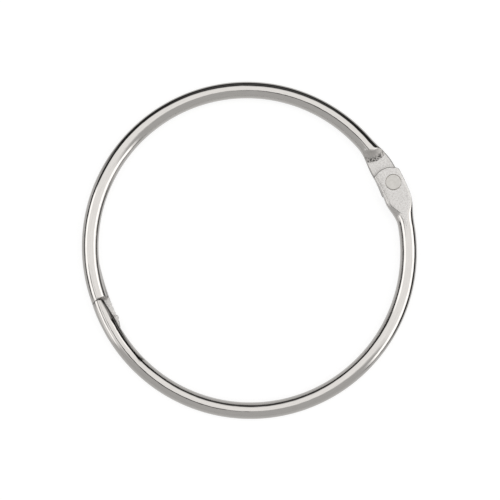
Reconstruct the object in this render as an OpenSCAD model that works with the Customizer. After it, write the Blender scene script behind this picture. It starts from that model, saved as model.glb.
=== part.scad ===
// Hinged loose-leaf ring: two half rings of round wire, joined by a rivet at one end
// and by hooked, half-lapped tongues at the other.
//
// The ring lies flat, with its axis along Z and its middle at the origin. The rivet is on +X
// and the clasp on -X. The front half is on the -Y side and lies on top at both laps.
// The rear half is the same kind of part, turned over about the X axis.
// Each half is drawn as a front half: its leaf and its tongue lie above the lap line.

/* [Wire] */
// Diameter of the round wire
wire_d = 4.2; // [4:0.1:4.4]
// Bend radius of the front half, to the middle of the wire
front_bend_r = 40; // [39.8:0.1:40.2]
// Bend radius of the rear half, to the middle of the wire
rear_bend_r = 39.6; // [39.4:0.1:39.8]
// How far the front half's bend centre is from the hinge line
front_centre_drop = 0.6; // [0.4:0.05:0.8]
// How far the rear half's bend centre is from the hinge line
rear_centre_drop = 1.15; // [0.9:0.05:1.3]
// How far the rear half's bend centre is shifted towards the clasp
rear_centre_shift = 0.2; // [0.1:0.05:0.3]

/* [Hinge leaves] */
// Where the front half's wire begins to spread into its leaf, from the rivet
front_leaf_start = 11; // [10.5:0.5:12]
// Where the rear half's wire begins to spread into its leaf, from the rivet
rear_leaf_start = 12; // [11:0.5:12.5]
// Where a leaf has its full width, from the rivet
leaf_full = 4.2; // [4:0.1:5]
// Height of the leaf's pressed face above the middle of the wire
leaf_h = 1.95; // [1.85:0.05:2]
// Where the pressed face starts to rise back to the top of the wire, from the rivet
leaf_flat = 6; // [5:0.5:7]
// Where it meets the top of the wire, from the rivet
leaf_fade = 12.2; // [11.5:0.1:12.6]
// Spread of the front leaf beyond the wire, on the ring's inside
front_spread_in = 1.45; // [1:0.05:1.6]
// Spread of the front leaf beyond the wire, on the ring's outside
front_spread_out = 0.9; // [0.6:0.05:1.1]
// Spread of the rear leaf beyond the wire, on the ring's inside
rear_spread_in = 1; // [0.8:0.05:1.3]
// Spread of the rear leaf beyond the wire, on the ring's outside
rear_spread_out = 0.9; // [0.6:0.05:1.1]
// How square a leaf's inner side gets, from 0 for a plain round one
squareness_in = 4; // [1:0.5:6]
// How square a leaf's outer side gets, from 0 for a plain round one
squareness_out = 9; // [4:0.5:10]
// Radius of the front leaf's rounded end
front_tip_r = 5; // [4.8:0.1:5.2]
// How far the middle of that rounding is from the rivet, inwards and backwards
front_tip_offset = 0.9; // [0.7:0.1:1]
// Radius of the rear leaf's rounded end
rear_tip_r = 4.7; // [4:0.1:4.8]
// Where the scooped ramp meets the lap plane, from the rivet
ramp_foot = 6.7; // [6.6:0.1:7.2]
// Where the ramp leaves the wire, from the rivet
ramp_head = 9.6; // [9.2:0.05:9.8]
// Radius of the ramp's hollow
ramp_hollow_r = 7; // [5:0.5:8]
// How far behind the rivet the upright axis is that the ramp curves round
ramp_axis = 11.6; // [11.4:0.1:12]

/* [Rivet] */
// Distance of the rivet from the middle of the ring
rivet_x = 40.15; // [40:0.05:40.3]
// Diameter of the rivet's shank
shank_d = 2.5; // [2.2:0.1:2.8]
// Diameter of the rivet's flat heads
rivet_head_d = 3.9; // [3.5:0.1:4]
// How far each head stands above the leaf
rivet_proud = 0.02; // [0:0.01:0.05]
// Height of the head's straight edge above its cone
rivet_edge_h = 0.27; // [0.15:0.01:0.3]
// Width of the groove that the countersink leaves around the head
rivet_groove = 0.2; // [0.1:0.05:0.3]
// Clearance around the rivet in the rear leaf, in which it turns
running_clearance = 0.05; // [0.03:0.01:0.1]

/* [Clasp] */
// Half the height of the hook's step
hook_h = 0.35; // [0.2:0.05:0.5]
// Distance of the hook's step from the middle of the lap
hook_shift = 0.5; // [0:0.1:0.8]
// Where the tongue ends, from the middle of the lap
tongue_l = 5.15; // [5:0.05:5.3]
// Radius of the tongue's rounded nose
nose_r = 2.9; // [2.7:0.1:3.1]
// Radius of the tighter rounding at the nose's outer corner
nose_corner_r = 2.3; // [2.1:0.1:2.5]
// How far the front tongue's inner side is trimmed back at its nose
front_trim = 0.7; // [0.4:0.05:0.9]
// Where that trimmed side starts, from the middle of the lap
trim_start = 4.5; // [4.3:0.1:4.7]
// How far the shoulder's edge is from the middle of the lap
shoulder_l = 5.35; // [5.3:0.05:5.5]
// Length of the sloping face below the shoulder
shoulder_run = 1.25; // [1.1:0.05:1.6]
// Slant of the shoulder across the wire
shoulder_slant = 8; // [4:1:10]
// Gap between a nose and the nest that it lies in
nest_gap = 0.08; // [0.06:0.01:0.12]
// Radius of the lip that the press squeezed out beside the rear hook
lip_r = 1; // [0.8:0.05:1.1]
// Distance of that lip's middle from the hook's step
lip_run = 0.4; // [0.2:0.1:0.6]
// How far the rear tongue is squeezed out on its inner side
swell_h = 0.4; // [0.2:0.05:0.5]
// Where that swelling starts, behind the middle of the lap
swell_start = 13; // [11:0.5:14]
// Where it ends, beyond the middle of the lap
swell_end = 3; // [2:0.5:4]

/* [Hidden] */
$fn = 96;

wire_r = wire_d / 2;
shank_r = shank_d / 2;
rivet_head_r = rivet_head_d / 2;
lap_gap = 0.02; // half the gap between the two halves' lap faces
hook_gap = 0.03; // half the gap between the two hooks' faces
reach = 8; // cutters reach this far past the wire
skim = 0.02; // by how much a cutter clears a face that it must not graze
lip_x = 2; // distance of the squeezed-out lip's middle from the clasp's, inwards
swell_r = 1.7; // radius of the rounded side of the swelling
swell_sunk = 1.5; // how far the swelling runs on inside the wire at both ends
ramp_axis_in = 1.25; // how far inwards of the rivet the ramp's axis is
clasp_x = -40.1; // middle of the clasp
nose_bulge = 0.4; // how far outwards the nose's rounding is centred
nose_corner_x = -0.3; // where its outer corner's rounding is centred, across the wire
nose_corner_back = 1.85; // and how far behind the tongue's end
trim_run_in = 0.32; // the trimmed side starts this far beyond the wire's radius from clasp_x
hook_back = 3.5; // where the plain part of the lap ends, behind the hook
lap_overlap = 2; // how far the shoulder's cutter runs on into the plain part of the lap
shoulder_x = 0.3; // the shoulder is slanted about this point across the wire
rear_tip_offset = [0.1, -0.2]; // middle of the rear leaf's end rounding, from the rivet
leaf_sides = 56; // sides of a leaf's section
station_step = 0.5; // distance between the leaf's sections
loft_lap = 0.8; // how far the leaf's first section is sunk into the plain wire
sunk = 0.985; // size of that section, so that it stays inside the plain wire
wire_end = 12.6; // where the plain wire ends and the leaf takes over

front_centre = [0, -front_centre_drop];
rear_centre = [-rear_centre_shift, -rear_centre_drop];
squareness = [squareness_in, squareness_out];

// Sections of the leaf: close together where the wire spreads, few where it is straight
leaf_stations = concat(
    [-(wire_end + loft_lap)],
    [for (y = [-wire_end + 0.1:station_step:-leaf_full]) y],
    [-leaf_full / 2, 0, front_tip_r + 0.4]
);

// Angle about a bend's centre of the point at distance y from the hinge line
function bend_angle(y, bend_r, centre) = asin((y - centre.y) / bend_r);

// How far the wire is pressed into a leaf: 0 on the plain wire, 1 on the full leaf
function pressed(y, start) =
    let (t = max(0, min(1, (y + start) / (start - leaf_full))))
    t * t * (3 - 2 * t);

// A superellipse that is a circle on the plain wire, and wider and squarer on the leaf.
// It gets wider first and squarer later.
function leaf_section(share, spread, size) =
    [for (i = [0:leaf_sides - 1])
        let (
            c = cos(360 * i / leaf_sides),
            s = sin(360 * i / leaf_sides),
            side = c > 0 ? 1 : 0,
            power = 2 / (2 + pow(share, 3) * squareness[side]),
            half_w = size * wire_r + share * spread[side]
        )
        [half_w * sign(c) * pow(abs(c), power), size * wire_r * sign(s) * pow(abs(s), power)]];

// A section's point p, carried out to the bend at distance y
function on_bend(p, y, bend_r, centre) =
    let (a = bend_angle(y, bend_r, centre))
    [centre.x + (bend_r + p.x) * cos(a), centre.y + (bend_r + p.x) * sin(a), p.y];

// The point on the clasp's side at distance y from the hinge line, on a circle of radius r
function clasp_point(y, r, centre) =
    let (a = bend_angle(y, r, centre))
    [centre.x - r * cos(a), centre.y + r * sin(a)];

// Middle of the circle of radius r through p and q, on the right of the way from p to q
function arc_middle(p, q, r) =
    let (half = (q - p) / 2, l = norm(half))
    p + half + sqrt(r * r - l * l) * [half.y, -half.x] / l;

// The plain round wire of one half, up to the tongue's end
module wire_arc(bend_r, centre) {
    hinge_end = bend_angle(-wire_end, bend_r, centre);
    clasp_end = bend_angle(tongue_l + 0.5, bend_r, centre);
    translate([centre.x, centre.y, 0])
        rotate([0, 0, 180 - clasp_end])
            rotate_extrude(angle = 180 + clasp_end + hinge_end)
                translate([bend_r, 0])
                    circle(r = wire_r);
}

// The end of the wire, spread into a leaf, before its faces are pressed flat
module leaf_loft(bend_r, centre, start, spread) {
    last = len(leaf_stations) - 1;
    points = [for (i = [0:last])
        for (p = leaf_section(pressed(leaf_stations[i], start), spread, i == 0 ? sunk : 1))
            on_bend(p, leaf_stations[i], bend_r, centre)];
    sides = [for (i = [0:last - 1])
        for (j = [0:leaf_sides - 1])
            let (k = (j + 1) % leaf_sides, a = i * leaf_sides, b = a + leaf_sides)
            for (face = [[a + j, a + k, b + k], [a + j, b + k, b + j]]) face];
    first_end = [for (j = [leaf_sides - 1:-1:0]) j];
    last_end = [for (j = [0:leaf_sides - 1]) last * leaf_sides + j];
    polyhedron(points, concat([first_end], sides, [last_end]));
}

// Sweeps a profile drawn in y and z along x, between x0 and x0 + w
module across(x0, w) {
    translate([x0, 0, 0])
        rotate([90, 0, 90])
            linear_extrude(height = w)
                children();
}

// What the flat die takes off the leaf's outer face, rising back to the wire's top
module leaf_press() {
    across(rivet_x - reach, 2 * reach)
        polygon([
            [reach, leaf_h],
            [-leaf_flat, leaf_h],
            [-leaf_fade, wire_r + skim],
            [-leaf_fade, reach],
            [reach, reach],
        ]);
}

// What is cut away under the leaf: the lap, as far back as the foot of the ramp
module leaf_lap() {
    difference() {
        translate([rivet_x - reach, -ramp_axis, lap_gap - reach])
            cube([2 * reach, ramp_axis + reach, reach]);
        ramp_horn();
    }
}

// What is left standing at the ramp: a horn with a hollow flank, round an upright axis
module ramp_horn() {
    foot = [ramp_axis - ramp_foot, lap_gap];
    head = [ramp_axis - ramp_head, -wire_r];
    translate([rivet_x - ramp_axis_in, -ramp_axis, 0])
        rotate_extrude()
            difference() {
                translate([0, -2 * reach])
                    square([foot.x, 2 * reach + wire_r]);
                translate(arc_middle(head, foot, ramp_hollow_r))
                    circle(r = ramp_hollow_r);
            }
}

// What is sheared off to round the leaf's end about a point given from the rivet
module leaf_end(tip_r, offset) {
    translate([rivet_x + offset.x, offset.y, -reach])
        linear_extrude(height = 2 * reach)
            difference() {
                translate([-reach, 0])
                    square([2 * reach, reach]);
                circle(r = tip_r);
            }
}

// The tongue's nose seen from above, as an outline that runs on backwards.
// Here x is the distance outwards from the middle of the clasp.
module nose_outline(grow) {
    intersection() {
        rounded_end([nose_bulge, tongue_l - nose_r], nose_r + grow);
        rounded_end([nose_corner_x, tongue_l - nose_corner_back], nose_corner_r + grow);
    }
}

// A plane region that ends in a circle of radius r about middle, and runs on backwards
module rounded_end(middle, r) {
    translate(middle)
        circle(r = r);
    translate([-reach, -reach])
        square([2 * reach, reach + middle.y]);
}

// What is sheared off the tongue's end and, where there is a trim, off its inner side
module tongue_sides(trim) {
    translate([clasp_x, 0, -reach])
        mirror([1, 0, 0])
            linear_extrude(height = 2 * reach) {
                difference() {
                    square([2 * reach, 4 * reach], center = true);
                    nose_outline(0);
                    translate([-reach, -2 * reach])
                        square([2 * reach, 2 * reach]);
                }
                if (trim > 0)
                    polygon([
                        [-reach, -trim_start],
                        [-wire_r - trim_run_in, -trim_start],
                        [trim - wire_r, tongue_l],
                        [-reach, tongue_l],
                    ]);
            }
}

// What is cut away under the tongue: the hooked lap, the shoulder's slope and the nest
module tongue_lap(step_y) {
    across(clasp_x - reach, 2 * reach)
        polygon([
            [-hook_back, -reach],
            [-hook_back, hook_h + lap_gap],
            [step_y + hook_gap, hook_h + lap_gap],
            [step_y + hook_gap, lap_gap - hook_h],
            [reach, lap_gap - hook_h],
            [reach, -reach],
        ]);
    translate([clasp_x + shoulder_x, -shoulder_l, 0])
        rotate([0, 0, -shoulder_slant])
            across(-reach, 2 * reach)
                polygon([
                    [0, -reach],
                    [0, -wire_r],
                    [shoulder_run, hook_h + lap_gap],
                    [shoulder_run + lap_overlap, hook_h + lap_gap],
                    [shoulder_run + lap_overlap, -reach],
                ]);
    translate([clasp_x, 0, -reach])
        mirror([1, 0, 0])
            linear_extrude(height = reach + hook_h + lap_gap)
                mirror([0, 1, 0])
                    intersection() {
                        nose_outline(nest_gap);
                        translate([-reach, 0])
                            square([2 * reach, reach]);
                    }
}

// The steel squeezed out of a tongue's inner side: a slightly thinner and straighter wire
// that leaves the tongue's inner side at one point and comes back to it at another
module swelling(bend_r, centre) {
    inner_r = bend_r - wire_r;
    start = clasp_point(-swell_start, inner_r, centre);
    end = clasp_point(swell_end, inner_r, centre);
    half = norm(end - start) / 2;
    bow = inner_r - sqrt(inner_r * inner_r - half * half) - swell_h;
    flat_r = (half * half / bow + bow) / 2;
    middle = arc_middle(start, end, flat_r);
    spare = swell_sunk / flat_r * 180 / PI;
    first = 180 - asin((end.y - middle.y) / flat_r) - spare;
    last = 180 - asin((start.y - middle.y) / flat_r) + spare;
    translate(middle)
        rotate([0, 0, first])
            rotate_extrude(angle = last - first)
                translate([flat_r + swell_r, 0])
                    circle(r = swell_r);
}

// The rivet's section on one side of the lap, grown by a clearance: the shank, a cone at
// 45 degrees out to the radius head_r, and a straight edge up to the height top
function rivet_side(grow, head_r, top) =
    let (
        cone_foot = leaf_h + rivet_proud - rivet_edge_h - (rivet_head_r - shank_r),
        lift = grow * (1 - sqrt(2))
    )
    [
        [shank_r + grow, cone_foot + lift],
        [head_r + grow, cone_foot + head_r - shank_r + lift],
        [head_r + grow, top],
    ];

// The countersunk hole in a leaf
module rivet_hole(grow) {
    translate([rivet_x, 0, 0])
        rotate_extrude()
            polygon(concat(
                [[0, -wire_r], [shank_r + grow, -wire_r]],
                rivet_side(grow, rivet_head_r + rivet_groove, reach / 2),
                [[0, reach / 2]]
            ));
}

// One half ring, complete: tip is its leaf's end, as a radius and a middle from the rivet
module half_ring(bend_r, centre, start, spread, tip, trim, step_y, play) {
    difference() {
        union() {
            wire_arc(bend_r, centre);
            leaf_loft(bend_r, centre, start, spread);
            children();
        }
        leaf_press();
        leaf_lap();
        leaf_end(tip[0], tip[1]);
        tongue_sides(trim);
        tongue_lap(step_y);
        rivet_hole(play);
    }
}

module front_half() {
    color("silver")
        half_ring(
            front_bend_r,
            front_centre,
            front_leaf_start,
            [front_spread_in, front_spread_out],
            [front_tip_r, [-front_tip_offset, -front_tip_offset]],
            front_trim,
            -hook_shift,
            0
        );
}

module rear_half() {
    color("gainsboro")
        rotate([180, 0, 0])
            half_ring(
                rear_bend_r,
                rear_centre,
                rear_leaf_start,
                [rear_spread_in, rear_spread_out],
                [rear_tip_r, rear_tip_offset],
                0,
                hook_shift,
                running_clearance
            ) {
                translate([clasp_x + lip_x, hook_shift + lip_run, 0])
                    sphere(r = lip_r);
                swelling(rear_bend_r, rear_centre);
            }
}

module hinge_rivet() {
    upper = rivet_side(0, rivet_head_r, leaf_h + rivet_proud);
    lower = [for (i = [len(upper) - 1:-1:0]) [upper[i].x, -upper[i].y]];
    color("darkgray")
        translate([rivet_x, 0, 0])
            rotate_extrude()
                polygon(concat([[0, lower[0].y]], lower, upper, [[0, upper[2].y]]));
}

front_half();
rear_half();
hinge_rivet();
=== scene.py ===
# %% [markdown]
# # A hinged loose-leaf ring
# The real thing is three pieces of plated steel: two half rings of round wire and one rivet.
# Each half ring starts as a straight piece of wire. It is bent to a half circle, one end is
# squeezed flat into a hinge leaf, and the other is sheared to a hooked half-lap.
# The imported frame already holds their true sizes. Its faces are coarse, though, and bright
# plating shows every flat facet, so this lesson bends and presses the wire again in fine mesh.

# %% Load the frame
import math

import bmesh
import bpy
import numpy as np
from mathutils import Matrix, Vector


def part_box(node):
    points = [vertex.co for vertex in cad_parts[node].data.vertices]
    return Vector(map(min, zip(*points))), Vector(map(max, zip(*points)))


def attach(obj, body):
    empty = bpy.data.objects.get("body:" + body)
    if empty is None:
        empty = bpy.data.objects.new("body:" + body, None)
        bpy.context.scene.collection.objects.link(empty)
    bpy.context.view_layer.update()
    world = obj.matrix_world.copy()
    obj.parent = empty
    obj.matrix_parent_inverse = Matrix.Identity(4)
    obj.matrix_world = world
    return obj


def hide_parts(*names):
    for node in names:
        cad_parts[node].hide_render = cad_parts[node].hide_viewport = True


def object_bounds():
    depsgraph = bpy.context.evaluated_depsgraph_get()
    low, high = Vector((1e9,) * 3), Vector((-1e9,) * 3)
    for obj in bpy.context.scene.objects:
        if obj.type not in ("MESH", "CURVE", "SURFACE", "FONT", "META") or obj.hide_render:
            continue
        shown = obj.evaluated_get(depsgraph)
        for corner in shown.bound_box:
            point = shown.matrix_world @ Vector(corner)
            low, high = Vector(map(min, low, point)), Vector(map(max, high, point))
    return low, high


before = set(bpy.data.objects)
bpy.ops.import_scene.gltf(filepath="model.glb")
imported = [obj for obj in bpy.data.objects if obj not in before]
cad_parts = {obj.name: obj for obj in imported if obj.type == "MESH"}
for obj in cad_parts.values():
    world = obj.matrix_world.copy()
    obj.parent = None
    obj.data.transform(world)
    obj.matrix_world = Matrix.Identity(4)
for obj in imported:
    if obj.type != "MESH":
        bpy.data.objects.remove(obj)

cad_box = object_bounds()
mm = 0.001
print("CAD nodes:", sorted(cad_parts))

# %% [markdown]
# ## Measuring the frame
# A size that the frame can tell is measured, not typed. The wire's radius is half its height.
# The outermost line of the plain wire lies at half height, so a circle through those points
# gives the middle of the bend and, less the wire's radius, the bend radius.
# The rear half is the same kind of part turned over, so both are drawn as a front half, with
# the leaf and the tongue above the lap, and the rear one is turned over at the end.

# %% Measure the wire, the two bends and the rivet
wire_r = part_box("front_half")[1].z
plain_from = 15 * mm  # beyond this distance from the hinge line the wire is plain


def measured_bend(node, side):
    """Middle and radius of the bend of the half that lies on that side of the hinge line."""
    points = np.array([v.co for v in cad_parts[node].data.vertices])
    rim = points[(np.abs(points[:, 2]) < 0.001 * mm) & (side * points[:, 1] > plain_from)]
    rows = np.c_[2 * rim[:, :2], np.ones(len(rim))]
    x, y, rest = np.linalg.lstsq(rows, (rim[:, :2] ** 2).sum(1), rcond=None)[0]
    return (x, -side * y), math.sqrt(rest + x * x + y * y) - wire_r


front_bend = measured_bend("front_half", -1)
rear_bend = measured_bend("rear_half", 1)
rivet_low, rivet_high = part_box("hinge_rivet")
rivet_x = (rivet_low.x + rivet_high.x) / 2
head_r = (rivet_high.x - rivet_low.x) / 2
print(f"wire {2 * wire_r / mm:.2f} mm, rivet at {rivet_x / mm:.2f} mm")
print(f"bend radii {front_bend[1] / mm:.2f} and {rear_bend[1] / mm:.2f} mm")

# %% [markdown]
# ## Camera and floor
# The ring lies flat and the camera looks straight down on it, turned a little about its own
# line of sight. A long lens keeps the wire's sides from leaning.

# %% Set the camera
view_w = 126.45 * mm  # what the view's width covers at the height of the ring
roll = math.radians(-25.4)
lens = 150
sensor = 36
right = Vector((math.cos(roll), math.sin(roll), 0))
up = Vector((-math.sin(roll), math.cos(roll), 0))

camera = bpy.data.objects.new("camera", bpy.data.cameras.new("camera"))
camera.data.lens = lens
camera.data.sensor_width = sensor
camera.location = right * 0.15 * mm + up * 0.1 * mm + Vector((0, 0, view_w * lens / sensor))
camera.rotation_euler = (0, 0, roll)
bpy.context.scene.collection.objects.link(camera)
bpy.context.scene.camera = camera
bpy.context.scene.view_settings.view_transform = "Standard"
print(f"camera {camera.location.z:.3f} m above the ring")

# %% [markdown]
# ## Node sums as Python
# Node trees are easier to read as formulas. `Value` wraps a socket, so that `a * b + 1` adds
# the Math nodes, and `Tree.add` makes any other node: its type, its settings, its sockets.

# %% Helpers for node trees
class Value:
    """The output of a node. Adding, multiplying and so on add Math nodes to its tree."""

    def __init__(self, tree, socket):
        self.tree = tree
        self.socket = socket

    def maths(self, operation, *others):
        return self.tree.add("ShaderNodeMath", {"operation": operation}, [self, *others])

    def __add__(self, other):
        return self.maths("ADD", other)

    def __sub__(self, other):
        return self.maths("SUBTRACT", other)

    def __rsub__(self, other):
        return self * -1 + other

    def __mul__(self, other):
        return self.maths("MULTIPLY", other)

    def __truediv__(self, other):
        return self.maths("DIVIDE", other)

    __radd__ = __add__
    __rmul__ = __mul__

    def step(self, low, high):
        """0 below low, 1 above high, and smooth between them."""
        settings = {"interpolation_type": "SMOOTHSTEP"}
        sockets = {"Value": self, "From Min": low, "From Max": high}
        return self.tree.add("ShaderNodeMapRange", settings, sockets)

    def window(self, low, high, soft):
        """1 between low and high, with edges as wide as soft."""
        half = soft / 2
        rise = self.step(low - half, low + half)
        return rise * (1 - self.step(high - half, high + half))

    def ramp(self, low, high):
        """0 below low, 1 above high, and straight between them."""
        sockets = {"Value": self, "From Min": low, "From Max": high}
        return self.tree.add("ShaderNodeMapRange", None, sockets)

    def towards(self, other, share):
        """This value where share is 0, the other where it is 1."""
        return self + (other - self) * share


class Tree:
    """A node tree with one way to add a node."""

    def __init__(self, nodes_of):
        self.tree = nodes_of
        self.tree.nodes.clear()

    def add(self, kind, settings=None, sockets=(), output=0):
        node = self.tree.nodes.new(kind)
        for name, setting in (settings or {}).items():
            setattr(node, name, setting)
        pairs = sockets.items() if isinstance(sockets, dict) else enumerate(sockets)
        for key, term in pairs:
            if isinstance(term, Value):
                self.tree.links.new(term.socket, node.inputs[key])
            else:
                node.inputs[key].default_value = term
        return Value(self, node.outputs[output]) if node.outputs else node


print("helpers ready")

# %% [markdown]
# ## Studio light
# Bright plating has no colour of its own: it shows the room. So the room is the light here, a
# world shader that paints soft patches by direction. East and north are the view's right and
# top. One big panel hangs over the ring, a little towards the north, and the dark lens shows
# before it. A bright lamp stands in the east and another in the west, each with a black board
# at its foot. A grey strip above and a low pale panel stand beside the west lamp. The south
# wall is mid grey and the north end is dark.

# %% Build the world
def studio(wall=0.46, dark=0.02, table=0.7, panel=1.0, east_lamp=1.5, west_lamp=1.45):
    world = bpy.data.worlds.new("studio")
    world.use_nodes = True
    tree = Tree(world.node_tree)
    direction = tree.add("ShaderNodeTexCoord")

    def part_along(axis):
        dot = {"operation": "DOT_PRODUCT"}
        return tree.add("ShaderNodeVectorMath", dot, [direction, axis], "Value")

    east, north, height = part_along(right), part_along(up), part_along((0, 0, 1))
    level = (east * east + north * north).maths("SQRT").maths("MAXIMUM", 0.001)
    slant = height.maths("ARCCOSINE") * math.degrees(1)  # 0 straight up, 90 at the horizon

    def patch(bearing, half_width, low, high, soft):
        """1 on a patch of the room round a bearing from the east, between two slants."""
        turn = math.radians(bearing)
        facing = (east * math.cos(turn) + north * math.sin(turn)) / level
        wide = math.cos(math.radians(half_width + soft / 2))
        narrow = math.cos(math.radians(half_width - soft / 2))
        return facing.step(wide, narrow) * slant.window(low, high, soft)

    overhead = height.maths("MAXIMUM", 0.02)
    across, beyond = east / overhead, north / overhead
    aside = across.maths("ABSOLUTE")
    near_edge = beyond + 0.6 * aside  # this edge of the panel has its corner overhead
    far_edge = beyond - 0.2 * aside
    hung = across.window(-1.5, 1.15, 0.4) * near_edge.step(-0.12, 0.02)
    hung = hung * (1 - far_edge.step(0.9, 1.9))
    lens_x, lens_y = across + 0.1, beyond + 0.14
    lens_spot = 1 - (lens_x * lens_x + lens_y * lens_y).maths("SQRT").step(0.07, 0.12)
    in_east = patch(-9, 33, 50, 82, 8).maths("MAXIMUM", patch(30, 8, 44, 57, 8))
    in_west = patch(179, 20, 43, 67, 7).maths("MAXIMUM", patch(205, 9, 45, 58, 6))

    to_north = (north / level).step(0, 0.25)
    glimmer = 0.05 * patch(85, 28, 72, 130, 20)  # the far wall is a little lighter straight north
    light = wall + (dark - wall) * to_north + glimmer
    light = light.towards(table, slant.ramp(100, 152))
    light = light.towards(panel, hung)
    light = light.towards(0.02, patch(-6, 40, 82, 98, 4))  # the east board
    light = light.towards(0.05, patch(178, 21, 74, 93, 4))  # the west board
    light = light.towards(0.3, patch(198, 10, 27, 37, 4))  # the grey strip
    light = light.towards(0.8, patch(206, 6, 62, 100, 6))  # the low pale panel
    light = light.towards(east_lamp, in_east)
    light = light.towards(west_lamp, in_west)
    light = light.towards(0.02, lens_spot)
    sockets = {"Color": (1, 0.995, 0.985, 1), "Strength": light}
    background = tree.add("ShaderNodeBackground", sockets=sockets)
    tree.add("ShaderNodeOutputWorld", sockets={"Surface": background})
    return world


bpy.context.scene.world = studio()
print("world lit")

# %% [markdown]
# ## The floor
# A plain pale floor under the ring. To the camera it glows nearly white, and the small part
# that it takes from the light is what keeps the ring's soft shadow. The plating sees it too, at
# about half that glow, because a mirror laid on a table sees the part that is in its own shade.
# At a grazing angle the glow that the plating sees is weaker, a painted reflection of the
# darker room in the table's gloss. There the plating also sees painted shade: a dark strip
# inside the ring and, beyond the ring from the south-east round to the north-west, a dark
# band. This painted shade gives bright wire the thin black outlines which make it look like metal.

# %% Lay the floor
def floor_finish(glow=0.8, tone=0.32, in_plating=(0.55, 0.34)):
    """The floor's own glow, its tone for light, and its glow in plating, steep and grazing."""
    finish = bpy.data.materials.new("floor")
    finish.use_nodes = True
    tree = Tree(finish.node_tree)
    paths = "ShaderNodeLightPath"
    place = tree.add("ShaderNodeTexCoord", output="Object")

    def part_along(axis):
        dot = {"operation": "DOT_PRODUCT"}
        return tree.add("ShaderNodeVectorMath", dot, [place, axis / mm], "Value")

    east, north = part_along(right), part_along(up)
    out = (east * east + north * north).maths("SQRT").maths("MAXIMUM", 1)
    # Painted shade: the plating's view of the floor is darkened beyond the ring on this side, and in
    # a strip inside it
    shade_way = math.radians(58)
    facing = (east * math.cos(shade_way) + north * math.sin(shade_way)) / out
    dark = facing.step(-0.15, 0.15) * out.step(45, 51)
    across, along = (north + 3).maths("ABSOLUTE"), east.maths("ABSOLUTE")
    painted_inner_shade = east.window(-31, 16, 6) * (1 - (across - 0.55 * along).step(-2, 4))
    # Painted reflection: at a grazing angle the glow in the plating is weaker, as if the table's
    # gloss showed the darker room
    grazing = tree.add("ShaderNodeLayerWeight", {}, {"Blend": 0.5}, "Facing").step(0.2, 0.6)
    dark = dark.maths("MAXIMUM", painted_inner_shade) * grazing
    glossy = tree.add(paths, output="Is Glossy Ray")
    seen = tree.add(paths, output="Is Camera Ray") + tree.add(paths, output="Is Transmission Ray")
    steep, flat = in_plating
    mirrored = (steep + (flat - steep) * grazing) * glossy * (1 - dark)
    strength = glow * seen.maths("MAXIMUM", mirrored)
    shining = tree.add("ShaderNodeEmission", sockets={"Strength": strength})
    # The floor's tone is darkened in the same places for the plating: painted shade
    lit = tree.add("ShaderNodeBsdfDiffuse", sockets={"Color": tone * (1 - 0.9 * dark * glossy)})
    both = tree.add("ShaderNodeAddShader", sockets=[shining, lit])
    tree.add("ShaderNodeOutputMaterial", sockets={"Surface": both})
    return finish


floor_half = 2
floor_mesh = bpy.data.meshes.new("floor")
sides_of_floor = ((-1, -1), (1, -1), (1, 1), (-1, 1))
corners = [(x * floor_half, y * floor_half, cad_box[0][2]) for x, y in sides_of_floor]
floor_mesh.from_pydata(corners, [], [(0, 1, 2, 3)])
floor_mesh.materials.append(floor_finish())
floor = bpy.data.objects.new("floor", floor_mesh)
bpy.context.scene.collection.objects.link(floor)
print(f"floor at {cad_box[0][2] / mm:.2f} mm")

# %% [markdown]
# ## Bending the blank
# Each half starts as a plain tube along an arc: a shape that follows a rule, so Geometry Nodes
# make it. A line of points is bent to the arc, and a circle is swept along it. The rings of
# faces are crowded together towards both ends, because that is where the press will need them.
# The blank is a little too long, as the last bit at each end is folded in to close it.

# %% The tree that bends a blank
def sockets_of(tree, wanted):
    """Adds named inputs to a node group and returns their identifiers by name."""
    return {
        name: tree.interface.new_socket(name=name, in_out="INPUT", socket_type=kind).identifier
        for name, kind in wanted.items()
    }


def blank_tree():
    group = bpy.data.node_groups.new("bent_blank", "GeometryNodeTree")
    lengths = ("Bend Radius", "Middle X", "Middle Y", "Wire Radius")
    spacing = ("First Angle", "Last Angle", "Crowding")
    wanted = dict.fromkeys(lengths + spacing, "NodeSocketFloat")
    wanted.update(dict.fromkeys(("Rings", "Sides"), "NodeSocketInt"))
    wanted["Finish"] = "NodeSocketMaterial"
    names = sockets_of(group, wanted)
    group.interface.new_socket(name="Geometry", in_out="OUTPUT", socket_type="NodeSocketGeometry")
    tree = Tree(group)

    def given(name):
        return tree.add("NodeGroupInput", output=name)

    share = tree.add("GeometryNodeInputIndex") / (given("Rings") - 1)
    crowded = share - given("Crowding") * (share * math.tau).maths("SINE") / math.tau
    angle = given("First Angle").towards(given("Last Angle"), crowded)
    x = given("Middle X") + given("Bend Radius") * angle.maths("COSINE")
    y = given("Middle Y") + given("Bend Radius") * angle.maths("SINE")
    line = tree.add("GeometryNodeCurvePrimitiveLine")
    points = tree.add("GeometryNodeResampleCurve", {}, {"Curve": line, "Count": given("Rings")})
    place = tree.add("ShaderNodeCombineXYZ", {}, [x, y, 0])
    bent = tree.add("GeometryNodeSetPosition", {}, {"Geometry": points, "Position": place})
    level = tree.add("GeometryNodeSetCurveNormal", {"mode": "Z_UP"}, {"Curve": bent})
    circle_sizes = {"Resolution": given("Sides"), "Radius": given("Wire Radius")}
    section = tree.add("GeometryNodeCurvePrimitiveCircle", {"mode": "RADIUS"}, circle_sizes)
    tube = tree.add("GeometryNodeCurveToMesh", {}, {"Curve": level, "Profile Curve": section})
    real = tree.add("GeometryNodeRealizeInstances", {}, {"Geometry": tube})
    plated = tree.add("GeometryNodeSetMaterial", {}, {"Geometry": real, "Material": given("Finish")})
    tree.add("NodeGroupOutput", {}, {"Geometry": plated})
    return group, names


blank_group, blank_inputs = blank_tree()
print("blank inputs:", ", ".join(blank_inputs))


# %% A blank as a plain mesh
rings, sides = 520, 112
crowding = 0.8  # 0 spaces the rings evenly, 1 leaves no distance between those at the ends


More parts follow.
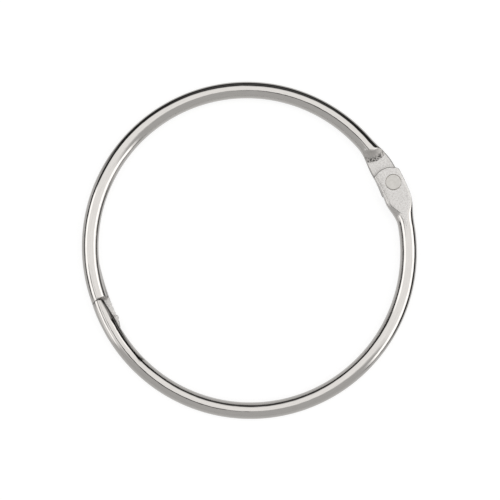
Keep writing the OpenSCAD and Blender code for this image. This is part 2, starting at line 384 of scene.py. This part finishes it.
def made_plain(maker, name):
    """The evaluated result of an object as a plain mesh object, with the maker removed."""
    bpy.context.view_layer.update()
    graph = bpy.context.evaluated_depsgraph_get()
    mesh = bpy.data.meshes.new_from_object(maker.evaluated_get(graph), depsgraph=graph)
    bpy.data.objects.remove(maker)
    mesh.name = name
    plain = bpy.data.objects.new(name, mesh)
    bpy.context.scene.collection.objects.link(plain)
    return plain


def bent_blank(name, bend, first_angle, last_angle, finish):
    maker = bpy.data.objects.new(name + "_maker", bpy.data.meshes.new(name + "_maker"))
    bpy.context.scene.collection.objects.link(maker)
    modifier = maker.modifiers.new("blank", "NODES")
    modifier.node_group = blank_group
    (middle_x, middle_y), bend_r = bend
    values = {
        "Bend Radius": bend_r, "Middle X": middle_x, "Middle Y": middle_y, "Wire Radius": wire_r,
        "First Angle": first_angle, "Last Angle": last_angle, "Crowding": crowding,
        "Rings": rings, "Sides": sides, "Finish": finish,
    }
    for socket, value in values.items():
        modifier[blank_inputs[socket]] = value
    return made_plain(maker, name)


print(f"{rings} rings of {sides} faces")

# %% [markdown]
# ## The dies, as fields
# A press shapes what lies inside its dies. Here each die is a field: a function of place that
# is negative where steel stays and positive where it is taken away, and reads in metres near
# the surface. The larger of two fields is what both leave standing. `rounded_max` does that
# with a rounded edge, and `rounded_min` joins two bodies with a rounded root.

# %% Rounded joins of fields
def rounded_max(a, b, edge):
    """The larger of two fields, with the edge between them rounded over."""
    close = np.maximum(edge - np.abs(a - b), 0) / edge
    return np.maximum(a, b) + close ** 2 * edge / 4


def rounded_min(a, b, edge):
    return -rounded_max(-a, -b, edge)


def smooth(share):
    """Eases a number that runs from 0 to 1 at both of its ends."""
    share = np.clip(share, 0, 1)
    return share * share * (3 - 2 * share)


print("edge between two faces drops by", f"{rounded_max(0.0, 0.0, 0.1):.3f} of 0.1")

# %% [markdown]
# ## What sets one half apart from the other
# The sizes are those of the frame's own source. Both halves share the press; they differ in
# how far their leaf spreads, how its end is rounded, and which way the hook's step is moved.

# %% Sizes of the two halves
class Half:
    """One half ring, drawn as a front half: leaf at +X, tongue at -X, wire at negative Y."""

    def __init__(self, name, bend, leaf_start, spread, tip, trimmed, step_y, play):
        self.name = name
        self.middle, self.bend_r = bend
        self.leaf_start = leaf_start
        self.spread = spread  # inwards and outwards
        self.tip_r, self.tip_middle = tip
        self.trimmed = trimmed
        self.step_y = step_y  # where the hook's step is
        self.play = play  # clearance round the rivet

    def plan_x(self, x, y, side):
        """Plan X of a point x outside the bend line: side is 1 at the hinge, -1 at the clasp."""
        return self.middle[0] + side * np.sqrt((self.bend_r + x) ** 2 - (y - self.middle[1]) ** 2)


hook_shift = 0.5 * mm
front = Half(
    "front_half", front_bend, leaf_start=11 * mm, spread=(1.55 * mm, 0.9 * mm),
    tip=(5 * mm, (rivet_x - 0.9 * mm, -0.9 * mm)), trimmed=True, step_y=-hook_shift, play=0,
)
rear = Half(
    "rear_half", rear_bend, leaf_start=12 * mm, spread=(1.0 * mm, 0.9 * mm),
    tip=(4.7 * mm, (rivet_x + 0.1 * mm, -0.2 * mm)), trimmed=False, step_y=hook_shift, play=0.05 * mm,
)
print("halves:", front.name, rear.name)

# %% [markdown]
# ## The hinge leaf
# The wire spreads from a circle to a wide section with squarish sides (a superellipse whose
# power grows later than the spread). Then a flat die presses its outer face, and the lap is
# cut underneath, up to a ramp that curves like the flank of a horn round an upright axis.

# %% The leaf's field
leaf_full = 4.2 * mm  # nearer to the rivet than this the leaf has its full width
leaf_h = rivet_high.z - 0.02 * mm  # the rivet's head stands a hair above the leaf
leaf_flat, leaf_fade = 6 * mm, 12.2 * mm  # the pressed face rises to the wire's top between these
skim = 0.02 * mm
lap_gap = 0.02 * mm  # each leaf stops this short of the lap
squareness = (4, 9)  # inner and outer side
ramp_foot, ramp_head, ramp_hollow_r = 6.7 * mm, 9.6 * mm, 7 * mm
ramp_x = rivet_x - 1.25 * mm  # the horn's axis is inwards of the rivet
ramp_axis = 11.6 * mm  # and this far behind it
ramp_fade = 2 * mm  # the horn runs out into the wire over this length
press_edge = 0.16 * mm  # rounding of the edges that the dies leave
cut_edge = 0.07 * mm  # rounding of the sheared ones
lap_edge = 0.22 * mm  # the leaf's lap is worn rounder


def arc_middle(p, q, r):
    """Middle of the circle of radius r through p and q, on the right of the way from p to q."""
    p, q = np.array(p), np.array(q)
    half = (q - p) / 2
    length = np.hypot(*half)
    return p + half + math.sqrt(r * r - length * length) * np.array((half[1], -half[0])) / length


ramp_line = ((ramp_axis - ramp_head, -wire_r), (ramp_axis - ramp_foot, lap_gap))
hollow = arc_middle(*ramp_line, ramp_hollow_r)


def leaf_share(half, x, y):
    """0 on the plain wire and 1 on the full leaf."""
    bend_y = half.middle[1] + half.bend_r * (y - half.middle[1]) / (half.bend_r + x)
    return smooth((bend_y + half.leaf_start) / (half.leaf_start - leaf_full))


def leaf_body(half, x, y, z):
    share = leaf_share(half, x, y)
    outside = x > 0
    width = wire_r + share * np.where(outside, half.spread[1], half.spread[0])
    power = 2 + share ** 3 * np.where(outside, squareness[1], squareness[0])
    reach = (np.abs(x) / width) ** power + (np.abs(z) / wire_r) ** power
    return (reach ** (1 / power) - 1) * wire_r


def leaf_cut(plan_x, y, z):
    out = np.hypot(plan_x - ramp_x, y + ramp_axis)
    ramp = ramp_hollow_r - np.hypot(out - hollow[0], z - hollow[1])
    ramp -= ramp_fade * smooth(1 - (y + ramp_axis) / ramp_fade)
    return np.where(out > ramp_axis - ramp_foot, lap_gap - z, ramp)


def leaf_field(half, x, y, z):
    press = z - np.interp(y, [-leaf_fade, -leaf_flat], [wire_r + skim, leaf_h])
    edge = skim + press_edge * leaf_share(half, x, y)
    pressed = rounded_max(leaf_body(half, x, y, z), press, edge)
    return rounded_max(pressed, leaf_cut(half.plan_x(x, y, 1), y, z), lap_edge)


def leaf_end(half, x):
    """Y of the leaf's rounded end at x."""
    y = np.zeros_like(x)
    for _ in range(4):
        across = half.plan_x(x, y, 1) - half.tip_middle[0]
        drop = np.maximum(half.tip_r ** 2 - across ** 2, (0.1 * half.tip_r) ** 2)
        y = half.tip_middle[1] + np.sqrt(drop)
    return y


leaf_w = 2 * wire_r + sum(front.spread)
print(f"front leaf {leaf_w / mm:.2f} mm wide, {leaf_h / mm:.2f} mm thick")

# %% [markdown]
# ## The hooked tongue
# The other end keeps the wire's round back. Underneath, a step turns the lap into a hook, and
# behind the lap a slanting shoulder runs down to the full wire. The nose is rounded by two
# arcs. The front tongue is also trimmed straight along its inner side, with a narrow facet
# along the edge. On the rear one the press squeezed steel out instead: a long low swelling with
# a rippled side, and a small lip beside the hook.

# %% The tongue's field
clasp_x = -40.1 * mm
hook_h, hook_gap = 0.35 * mm, 0.03 * mm
tongue_l = 5.15 * mm
nose_arcs = (  # middle and radius of each
    ((0.4 * mm, tongue_l - 2.9 * mm), 2.9 * mm),
    ((-0.3 * mm, tongue_l - 2.25 * mm), 2.4 * mm),
)
nest_gap = 0.08 * mm
trim_start, trim_run_in, front_trim = 4.5 * mm, 0.32 * mm, 0.7 * mm
facet_w, facet_edge = 0.5 * mm, 0.2 * mm
facet_start, facet_run_in = 3.5 * mm, 3 * mm
shoulder_l, shoulder_run, shoulder_x = 5.35 * mm, 1.25 * mm, 0.3 * mm
shoulder_slant = math.radians(8)
lip_r, lip_x, lip_run = 1 * mm, 2 * mm, 0.4 * mm
swell_start, swell_end, swell_h = 13 * mm, 3 * mm, 0.4 * mm
swell_r, swell_z, ripple_h = 1.3 * mm, 0.65 * mm, 0.04 * mm
lap_top = hook_h + lap_gap


def nose_line(x, grow=0):
    """How far the nose reaches at x, counted outwards from the middle of the clasp."""
    lines = []
    for (middle_x, middle_y), r in nose_arcs:
        drop = np.maximum((r + grow) ** 2 - (x - middle_x) ** 2, (0.1 * r) ** 2)
        lines.append(middle_y + np.sqrt(drop))
    return np.minimum(*lines)


def swelling(half):
    """Middle and inner radius of the swelling: a straighter wire inside the tongue's inner side."""
    inner_r = half.bend_r - wire_r
    ends = []
    for y in (-swell_start, swell_end):
        rise = y - half.middle[1]
        ends.append((half.middle[0] - math.sqrt(inner_r ** 2 - rise ** 2), y))
    half_chord = math.dist(*ends) / 2
    bow = inner_r - math.sqrt(inner_r ** 2 - half_chord ** 2) - swell_h
    flat_r = (half_chord ** 2 / bow + bow) / 2
    return arc_middle(*ends, flat_r), flat_r


def tongue_body(half, x, y, z):
    body = np.hypot(x, z) - wire_r
    if not half.trimmed:
        plan_x = half.plan_x(x, y, -1)
        (middle_x, middle_y), flat_r = swelling(half)
        off_swell = np.hypot(plan_x - middle_x, y - middle_y) - flat_r - swell_r
        waves = np.sin(5.1 * y / mm) + np.sin(8.3 * y / mm + 1)
        ripple = ripple_h * waves * smooth((y + shoulder_l) / mm)
        body = rounded_min(body, np.hypot(off_swell, z - swell_z) - swell_r + ripple, 0.2 * mm)
        off_x, off_y = plan_x - clasp_x - lip_x, y - half.step_y - lip_run
        body = rounded_min(body, np.sqrt(off_x ** 2 + off_y ** 2 + z ** 2) - lip_r, 0.25 * mm)
    return body


def hook_level(half, y):
    """Height of the lap: high behind the hook's step, low on the hook."""
    step = [half.step_y - hook_gap, half.step_y + hook_gap]
    return np.interp(y, step, [lap_top, lap_gap - hook_h])


def tongue_cut(half, plan_x, y, z):
    """The shoulder's slope and the two levels of the hook."""
    off_x, off_y = plan_x - clasp_x - shoulder_x, y + shoulder_l
    behind = off_x * math.sin(shoulder_slant) + off_y * math.cos(shoulder_slant)
    rise = (wire_r + lap_top) / shoulder_run
    slope = (rise * behind - wire_r - z) / math.hypot(rise, 1)
    return np.minimum(slope, hook_level(half, y) - z)


def trim_fields(half, x, y, z):
    """The straight trim of the inner side, and the facet along its edge."""
    share = (y + trim_start) / (tongue_l + trim_start)
    line = -wire_r - trim_run_in + share * (front_trim + trim_run_in)
    trim = np.where(share > 0, line - clasp_x + half.plan_x(x, y, -1), -wire_r)
    edge_x = np.hypot(clasp_x - line - half.middle[0], y - half.middle[1]) - half.bend_r
    facet_x = np.clip(edge_x + facet_w, -wire_r * math.sqrt(0.5), 0)
    facet = (z - x - np.sqrt(wire_r ** 2 - facet_x ** 2) + facet_x) * math.sqrt(0.5)
    return trim, facet - facet_edge * (1 - smooth((y + facet_start) / facet_run_in))


def tongue_field(half, x, y, z):
    body = tongue_body(half, x, y, z)
    if half.trimmed:
        trim, facet = trim_fields(half, x, y, z)
        body = rounded_max(rounded_max(body, facet, facet_edge), trim, cut_edge)
    return rounded_max(body, tongue_cut(half, half.plan_x(x, y, -1), y, z), cut_edge)


def tongue_end(half, x):
    """Y of the nose at x."""
    y = np.full_like(x, tongue_l)
    for _ in range(4):
        y = nose_line(clasp_x - half.plan_x(x, y, -1))
    return y


print(f"tongue {tongue_l / mm:.2f} mm long, hook {2 * hook_h / mm:.1f} mm high")

# %% [markdown]
# ## Pressing a ring of the blank
# Each ring of vertices near an end is moved to where the dies put it. First the ring is laid
# out as a sheet across the wire: square to the bend on the plain wire, square to the hinge line
# at the lap, and bowed like the rounded end close to it. Rays from the middle of the section
# then find where the field changes sign, and the ring's vertices are spread along that outline,
# closer together where it turns, so that even a narrow rounded edge gets a few of them.

# %% What is special about each end
class End:
    """One end of a half: its field, its rounded outline, and where the press starts to act."""

    def __init__(self, side, field, line, zone, square, edge):
        self.side = side  # 1 at the hinge, -1 at the clasp
        self.field = field
        self.line = line
        self.zone = zone  # the blank is left as it is before this distance
        self.square = square  # where rings turn from square to the bend to square to the lap
        self.edge = edge  # rounding of the sheared end's edges

    def tip(self, half):
        return half.tip_middle[1] + half.tip_r if self.side > 0 else tongue_l

    def middle(self, half, station):
        """Middle of the section, from which the rays start."""
        if self.side > 0:
            share = leaf_share(half, 0, station)
            top = np.interp(station, [-leaf_fade, -leaf_flat], [wire_r, leaf_h])
            out = station + ramp_axis
            drop = np.maximum(ramp_hollow_r ** 2 - (out - hollow[0]) ** 2, 0)
            ramp = np.where(station > -ramp_foot, lap_gap, hollow[1] + np.sqrt(drop))
            low = np.where(station > -ramp_head, np.maximum(ramp, -wire_r), -wire_r)
            return share * (half.spread[1] - half.spread[0]) / 2, (top + low) / 2
        return 0 * station, 1.2 * mm * smooth((station + shoulder_l + 0.5 * mm) / (1.5 * mm))


spare = 1.2 * mm  # extra length of the blank at each end
bow_run = 5 * mm  # the rings bow over this length before the rounded end
hinge_end = End(
    1, leaf_field, leaf_end, zone=-13 * mm, square=(-12.6 * mm, -5 * mm), edge=0.2 * mm,
)
clasp_end = End(
    -1, tongue_field, tongue_end, zone=-13.5 * mm, square=(-9.5 * mm, -5.5 * mm), edge=0.15 * mm,
)
print(f"leaf tip at {hinge_end.tip(front) / mm:.1f} mm, nose at {clasp_end.tip(front) / mm:.2f} mm")


# %% Find the pressed outlines
rays = 1440
turn_cost = 1.4 * mm  # a turn of one radian earns as many vertices as this length


def sheet_y(half, end, station, x):
    """Y of the sheet that a ring is laid out on, at a distance x outside the bend line."""
    squared = smooth((station - end.square[0]) / (end.square[1] - end.square[0]))
    bowed = smooth((station - end.tip(half) + bow_run) / (bow_run - end.edge))
    slant = x * (station - half.middle[1]) / half.bend_r
    return station + slant * (1 - squared) - bowed * (end.tip(half) - end.line(half, x))


def outlines(half, end, station):
    """Outline points of the sections at the stations, as x and z for each ray."""
    angle = np.arange(rays) * math.tau / rays
    middle_x, middle_z = end.middle(half, station)
    inside = np.zeros((len(station), rays))
    outside = np.full((len(station), rays), 5 * mm)
    for _ in range(26):
        r = (inside + outside) / 2
        x, z = middle_x + r * np.cos(angle), middle_z + r * np.sin(angle)
        steel = end.field(half, x, sheet_y(half, end, station, x), z) < 0
        inside, outside = np.where(steel, r, inside), np.where(steel, outside, r)
    return middle_x + inside * np.cos(angle), middle_z + inside * np.sin(angle)


def spread_vertices(x, y, z, shares):
    """Points at the given shares of a closed outline, counting its turns as well as its length."""
    loop = np.c_[x, y, z]
    steps = np.roll(loop, -1, axis=0) - loop
    length = np.linalg.norm(steps, axis=1)
    ways = steps / length[:, None]
    turn = np.arccos(np.clip((ways * np.roll(ways, 1, axis=0)).sum(1), -1, 1))
    cost = length + turn_cost * (turn + np.roll(turn, -1)) / 2
    cost = (cost + np.roll(cost, 1) + np.roll(cost, -1)) / 3
    passed = np.r_[0, np.cumsum(cost)]
    closed = np.r_[loop, loop[:1]]
    return [np.interp(shares * passed[-1], passed, closed[:, i]) for i in (0, 2)]


print(f"{rays} rays a section")


# %% Press one end
edge_share = 0.35  # of the spare length goes to the end's rounded edge


def press_end(half, end, station, around):
    """Where the vertices of the given rings end up: x outside the bend line, y and z."""
    tip = end.tip(half)
    last = tip - end.edge
    folded = np.clip((station - last) / (spare + end.edge), 0, 1)
    station = np.minimum(station, last)
    middle_x, middle_z = end.middle(half, station)
    outline_x, outline_z = outlines(half, end, station)
    outline_y = sheet_y(half, end, station, outline_x)
    outlines_here = zip(outline_x, outline_y, outline_z, around)
    rows = np.array([spread_vertices(*outline) for outline in outlines_here])
    x, z = rows[:, 0], rows[:, 1]
    # The spare length first rounds the edge, and then closes the end like an iris
    turned = np.minimum(folded / edge_share, 1) * math.pi / 2
    closed = np.clip((folded - edge_share) / (1 - edge_share), 0, 1)
    inset = end.edge * (1 - np.cos(turned))
    half_x = np.ptp(outline_x, axis=1)[:, None] / 2
    half_z = np.ptp(outline_z, axis=1)[:, None] / 2
    x = middle_x + (x - middle_x) * (1 - inset / half_x) * (1 - closed)
    z = middle_z + (z - middle_z) * (1 - inset / half_z) * (1 - closed)
    rounded_y = last + end.edge * np.sin(turned) - (tip - end.line(half, x))
    return x, np.where(folded > 0, rounded_y, sheet_y(half, end, station, x)), z


def pressed_half(half, finish):
    """The blank of one half with both ends pressed, still drawn as a front half."""
    middle_x, middle_y = half.middle
    first = math.asin((hinge_end.tip(half) + spare - middle_y) / half.bend_r)
    last = -math.pi - math.asin((tongue_l + spare - middle_y) / half.bend_r)
    piece = bent_blank(half.name, (half.middle, half.bend_r), first, last, finish)
    mesh = piece.data
    flat = np.zeros(len(mesh.vertices) * 3)
    mesh.vertices.foreach_get("co", flat)
    points = flat.reshape(rings, sides, 3).copy()
    off_x, off_y = points[:, :, 0] - middle_x, points[:, :, 1] - middle_y
    bend_angle = np.unwrap(np.arctan2(off_y.mean(axis=1), off_x.mean(axis=1)))
    around = np.arctan2(points[:, :, 2], np.hypot(off_x, off_y) - half.bend_r) / math.tau % 1
    station = middle_y + half.bend_r * np.sin(bend_angle)
    for end in (hinge_end, clasp_end):
        here = (end.side * np.cos(bend_angle) > 0) & (station > end.zone)
        x, y, z = press_end(half, end, station[here][:, None], around[here])
        points[here] = np.stack((half.plan_x(x, y, end.side), y, z), axis=-1)
    mesh.vertices.foreach_set("co", points.ravel())
    mesh.update()
    return piece


print("press ready")

# %% [markdown]
# ## Cutters
# The rivet's countersunk hole and the nest for the other half's nose have sharp walls that run
# across the rings, so they are cut with exact Booleans. A lathe makes the hole's cutter, and
# the rivet itself as well: it joins a profile's points, turned about a vertical axis.

# %% Lathe, prism and cut
def mesh_object(name, points, faces, finish=None):
    mesh = bpy.data.meshes.new(name)
    mesh.from_pydata([tuple(point) for point in points], [], faces)
    if finish:
        mesh.materials.append(finish)
    made = bpy.data.objects.new(name, mesh)
    bpy.context.scene.collection.objects.link(made)
    return made


def tidy(piece):
    """Merges points that fell together and turns all faces outwards."""
    edit = bmesh.new()
    edit.from_mesh(piece.data)
    bmesh.ops.remove_doubles(edit, verts=edit.verts, dist=0.0005 * mm)
    bmesh.ops.recalc_face_normals(edit, faces=edit.faces)
    edit.to_mesh(piece.data)
    edit.free()
    return piece


def lathe(name, profile, turns, finish=None):
    """Turns a profile of (radius, z), from pole to pole, about the rivet's axis."""
    points = [
        (rivet_x + r * math.cos(i * math.tau / turns), r * math.sin(i * math.tau / turns), z)
        for i in range(turns) for r, z in profile
    ]
    rows = len(profile)
    faces = [
        (i * rows + k, (i + 1) % turns * rows + k, (i + 1) % turns * rows + k + 1, i * rows + k + 1)
        for i in range(turns) for k in range(rows - 1)
    ]
    return tidy(mesh_object(name, points, faces, finish))


def prism(name, outline, low, high):
    """An outline in plan, extruded from one height to another."""
    count = len(outline)
    points = [(x, y, z) for z in (low, high) for x, y in outline]
    walls = [(i, (i + 1) % count, (i + 1) % count + count, i + count) for i in range(count)]
    ends = [tuple(range(count)), tuple(range(count, 2 * count))]
    return tidy(mesh_object(name, points, [*ends, *walls]))


def cut(piece, cutter):
    """Takes the cutter away from the piece, and removes it."""
    boolean = piece.modifiers.new("cut", "BOOLEAN")
    boolean.operation, boolean.solver, boolean.object = "DIFFERENCE", "EXACT", cutter
    name = piece.name
    cut_piece = made_plain(piece, name)
    bpy.data.objects.remove(cutter)
    cut_piece.name = name
    return cut_piece


print("cutters ready")


# %% The rivet's profile, the hole and the nest
shank_r = 1.25 * mm
rivet_edge_h = 0.27 * mm
rivet_groove = 0.05 * mm  # the riveting press squeezes the leaf against the head
cone_foot = rivet_high.z - rivet_edge_h - (head_r - shank_r)


def countersink(play):
    """The hole's cutter: a shank, a cone and a straight edge with a tiny chamfer at the face."""
    lift = play * (1 - math.sqrt(2))
    wide = head_r + rivet_groove + play
    chamfer = 0.05 * mm
    high = 2 * wire_r
    profile = [
        (0, -wire_r),
        (shank_r + play, -wire_r),
        (shank_r + play, cone_foot + lift),
        (wide, cone_foot + lift + wide - shank_r - play),
        (wide, leaf_h - chamfer),
        (wide + chamfer + high - leaf_h, high),
        (0, high),
    ]
    return lathe("countersink", profile, 128)


def nest():
    """The other nose, grown by its gap, as a cutter for the shoulder."""
    across = np.linspace(-2.7 * mm, 2.35 * mm, 60)
    nose = [(clasp_x - x, -y) for x, y in zip(across, nose_line(across, nest_gap))]
    outline = [(clasp_x - across[0], 0), *nose, (clasp_x - across[-1], 0)]
    return prism("nest", outline, -3 * mm, lap_top + 0.005 * mm)


print(f"hole {2 * (head_r + rivet_groove) / mm:.1f} mm wide at the face")

# %% [markdown]
# ## Where the dies touched
# The plating takes up whatever the steel below it looks like, so the finish has to know how
# each spot was made. Five attributes tell it. `pressed` is 1 on flat pressed faces and less on
# the leaf's squeezed flanks. `sheared` is 1 on the ramp and the shoulder, and `torn` is 1 at the
# ramp's foot. The fourth mark is 1 where steel was cut off last, and there the finish paints it
# nearly black, as bare steel in part and as painted shade in part: at both ends, round the rim
# of the leaf's lap, and on the trimmed side of the front tongue. `unrolled` says how far along
# the wire a point lies, in millimetres, with its place in the section.

# %% Tell how each spot was made
mark_names = ("pressed", "sheared", "torn", "cropped_and_shade")


def near(distance, width):
    """1 where a distance is nothing, and 0 from the width on."""
    return smooth(1 - np.abs(distance) / width)


def hinge_marks(half, plan_x, x, y, z):
    """The four marks near the hinge, without the end face, which joins the dark mark later."""
    out = np.hypot(plan_x - ramp_x, y + ramp_axis)
    on_lap = out > ramp_axis - ramp_foot
    body = leaf_body(half, x, y, z)
    die = z - np.interp(y, [-leaf_fade, -leaf_flat], [wire_r + skim, leaf_h])
    flank = leaf_share(half, x, y) * np.clip(body / mm + 1, 0, 1) * 0.5
    pressed = np.where(y > 0.2 * mm - leaf_fade, np.maximum(near(die, 0.03 * mm), flank), 0)
    pressed = np.where(on_lap, np.maximum(pressed, near(z - lap_gap, 0.05 * mm)), pressed)
    sheared = np.where(on_lap, 0, near(leaf_cut(plan_x, y, z), 0.08 * mm))
    to_foot = ramp_axis - ramp_foot - out
    torn = sheared * smooth(1.3 - np.abs(to_foot - 0.35 * mm) / (0.8 * mm))
    # The lap's rim goes to the mark that is painted nearly black: cut steel, and painted shade along
    # that edge
    lap_rim = np.where(on_lap, near(z - lap_gap, 0.3 * mm) * near(body, 0.3 * mm), 0)
    return pressed * (1 - sheared), sheared, torn, lap_rim


def clasp_marks(half, plan_x, x, y, z):
    """The four marks near the clasp, without the end face, which joins the dark mark later."""
    pressed = near(hook_level(half, y) - z, 0.05 * mm)
    sheared = near(tongue_cut(half, plan_x, y, z), 0.05 * mm) * (1 - pressed)
    # The trimmed side goes to the mark that is painted nearly black: cut steel, and painted shade
    trimmed = np.zeros_like(y)
    if half.trimmed:
        trim, facet = trim_fields(half, x, y, z)
        trimmed = np.maximum(near(trim, 0.2 * mm), near(facet, 0.2 * mm))
    return pressed, sheared, np.zeros_like(y), trimmed


# %% Mark the faces
def mark(half, piece):
    mesh = piece.data
    flat = np.zeros(len(mesh.vertices) * 3)
    mesh.vertices.foreach_get("co", flat)
    plan_x, y, z = flat.reshape(-1, 3).T
    off_x, off_y = plan_x - half.middle[0], y - half.middle[1]
    x = np.hypot(off_x, off_y) - half.bend_r
    marks = np.zeros((len(mark_names), len(y)))
    for end, marks_of in ((hinge_end, hinge_marks), (clasp_end, clasp_marks)):
        here = (end.side * plan_x > 0) & (y > end.zone)
        marks[:, here] = marks_of(half, plan_x[here], x[here], y[here], z[here])
        # The end face goes to the same dark mark: cut steel, and painted shade at the step where the
        # end stands
        to_end = y[here] - end.line(half, x[here])
        end_face = smooth(1 + (to_end + 0.5 * end.edge) / (0.5 * end.edge))
        marks[-1, here] = np.maximum(marks[-1, here], end_face)
    for name, values in zip(mark_names, marks):
        mesh.attributes.new(name, "FLOAT", "POINT").data.foreach_set("value", values)
    unrolled = np.c_[half.bend_r * np.arctan2(off_y, -off_x), x, z] / mm
    placed = mesh.attributes.new("unrolled", "FLOAT_VECTOR", "POINT")
    placed.data.foreach_set("vector", unrolled.ravel())


print("marks ready")

# %% [markdown]
# ## Plated wire
# Nickel plate is a metal, so its colour is what it reflects. The drawn wire below it leaves
# fine streaks along the wire and slow, shallow waves from the bending. Where the dies pressed
# it, the face is sandy and scatters the light. Where it was sheared, it is rough and mottled,
# and at the ramp's torn foot it is pitted. Cropped faces are painted nearly black: partly bare,
# dark steel, and partly painted shade along the leaf's tip, the lap's rim and the trimmed side.

# %% Helpers for finishes
def new_finish(name):
    finish = bpy.data.materials.new(name)
    finish.use_nodes = True
    return finish, Tree(finish.node_tree)


def marked(tree, name, output="Fac"):
    return tree.add("ShaderNodeAttribute", {"attribute_name": name}, output=output)


def stretched(tree, vector, scale):
    return tree.add("ShaderNodeVectorMath", {"operation": "MULTIPLY"}, [vector, scale])


def noise(tree, vector, scale=1, detail=2):
    sockets = {"Vector": vector, "Scale": scale, "Detail": detail}
    return tree.add("ShaderNodeTexNoise", {}, sockets)


def mixed(tree, share, one, other):
    """A colour between two others."""
    return tree.add("ShaderNodeMix", {"data_type": "RGBA"}, {0: share, 6: one, 7: other}, 2)


def metal(tree, colour, roughness, height):
    """Closes a finish: a metal with its colour, roughness and relief (height in metres)."""
    relief = tree.add("ShaderNodeBump", {}, {"Height": height, "Distance": 1, "Strength": 1})
    sockets = {"Base Color": colour, "Metallic": 1, "Roughness": roughness, "Normal": relief}
    shader = tree.add("ShaderNodeBsdfPrincipled", {}, sockets)
    tree.add("ShaderNodeOutputMaterial", {}, {"Surface": shader})


print("finish helpers ready")


# %% Nickel plate
def plated_wire():
    finish, tree = new_finish("plated_wire")
    place = marked(tree, "unrolled", "Vector")
    pressed, sheared, torn, cropped_and_shade = (marked(tree, name) for name in mark_names)
    waves = noise(tree, stretched(tree, place, (0.22, 0.8, 0.8)))
    streaks = noise(tree, stretched(tree, place, (0.4, 5, 5)))
    sand = noise(tree, stretched(tree, place, (3.5, 3.5, 3.5)), detail=4)
    mottle = noise(tree, stretched(tree, place, (2.2, 2.2, 2.2)), detail=3)
    bright = (0.76, 0.737, 0.713, 1)
    grey = (0.71, 0.686, 0.664, 1)
    silvery = (0.865, 0.848, 0.832, 1)
    speckled = (0.71, 0.69, 0.672, 1)
    dull = (0.65, 0.628, 0.606, 1)
    bare_and_shade = (0.21, 0.20, 0.19, 1)
    pitted = (0.16, 0.155, 0.15, 1)
    colour = mixed(tree, streaks.step(0.3, 0.8), bright, grey)
    colour = mixed(tree, pressed, colour, mixed(tree, sand.step(0.42, 0.62), silvery, speckled))
    colour = mixed(tree, sheared * (0.4 + 0.6 * mottle.step(0.4, 0.65)), colour, dull)
    colour = mixed(tree, torn * mottle.step(0.45, 0.53), colour, pitted)
    # Cut faces are painted nearly black: bare steel in part, painted shade in part
    colour = mixed(tree, cropped_and_shade, colour, bare_and_shade)
    roughness = 0.05 + 0.05 * streaks
    roughness = roughness + pressed * (0.26 + 0.14 * sand) + sheared * (0.4 + 0.2 * mottle)
    height = 0.03 * waves + 0.0006 * streaks + pressed * sand * 0.012 + sheared * mottle * 0.012
    metal(tree, colour, roughness, height * mm)
    return finish


def rivet_steel():
    finish, tree = new_finish("rivet_steel")
    place = stretched(tree, tree.add("ShaderNodeTexCoord", output="Object"), (1000, 1000, 1000))
    sand = noise(tree, place, 6, 3)
    mottle = noise(tree, place, 1.1, 2)
    colour = mixed(tree, mottle.step(0.3, 0.7), (0.74, 0.72, 0.69, 1), (0.68, 0.66, 0.63, 1))
    metal(tree, colour, 0.26 + 0.12 * sand, (0.004 * mottle + 0.001 * sand) * mm)
    return finish


plate, rivet_plate = plated_wire(), rivet_steel()
print("finishes:", plate.name, rivet_plate.name)

# %% [markdown]
# ## The two half rings
# Press, cut, mark. The rear half is then turned over about the line from hinge to clasp.

# %% Make the half rings
def half_ring(half, name, turned_over):
    piece = tidy(pressed_half(half, plate))
    piece.name = name
    piece = cut(piece, countersink(half.play))
    piece = cut(piece, nest())
    mark(half, piece)
    if turned_over:
        flat = np.zeros(len(piece.data.vertices) * 3)
        piece.data.vertices.foreach_get("co", flat)
        piece.data.vertices.foreach_set("co", (flat.reshape(-1, 3) * (1, -1, -1)).ravel())
    piece.data.shade_smooth()
    piece.data.set_sharp_from_angle(angle=math.radians(40))
    return piece


front_ring = half_ring(front, "front_ring", False)
rear_ring = half_ring(rear, "rear_ring", True)
for piece in (front_ring, rear_ring):
    piece.data.calc_loop_triangles()
    print(piece.name, len(piece.data.loop_triangles), "triangles")

# %% [markdown]
# ## The rivet
# A flat-headed rivet, set so that both heads lie in their countersinks almost flush. The edge
# of each head is a little rounded, and its face is slightly dished.

# %% Turn the rivet
def rivet_profile():
    """One half of the rivet's section, from the middle of the shank up to the pole."""
    edge, dish = 0.16 * mm, 0.012 * mm
    top = rivet_high.z
    arc = [i * math.pi / 24 for i in range(13)]
    corner = [(head_r - edge + edge * math.cos(a), top - edge + edge * math.sin(a)) for a in arc]
    inwards = (0.85, 0.7, 0.55, 0.4, 0.25, 0.12, 0)
    face = [(share * head_r, top - dish * (1 - share) ** 2) for share in inwards]
    cone = [(shank_r, cone_foot), (head_r, cone_foot + head_r - shank_r)]
    return cone + corner + face


upper_half = rivet_profile()
lower_half = [(r, -z) for r, z in reversed(upper_half)]
rivet = lathe("rivet", lower_half + upper_half, 128, rivet_plate)
rivet.data.shade_smooth()
rivet.data.set_sharp_from_angle(angle=math.radians(40))
print("rivet", len(rivet.data.vertices), "vertices")

# %% [markdown]
# ## Handing over
# Each piece rides with its body, and the CAD node that it stands for is hidden.

# %% Ride and replace
for piece, body, node, slot in (
    (front_ring, "front", "front_half", "plated_wire"),
    (rear_ring, "rear", "rear_half", "plated_wire"),
    (rivet, "front", "hinge_rivet", "rivet_steel"),
):
    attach(piece, body)
    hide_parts(node)
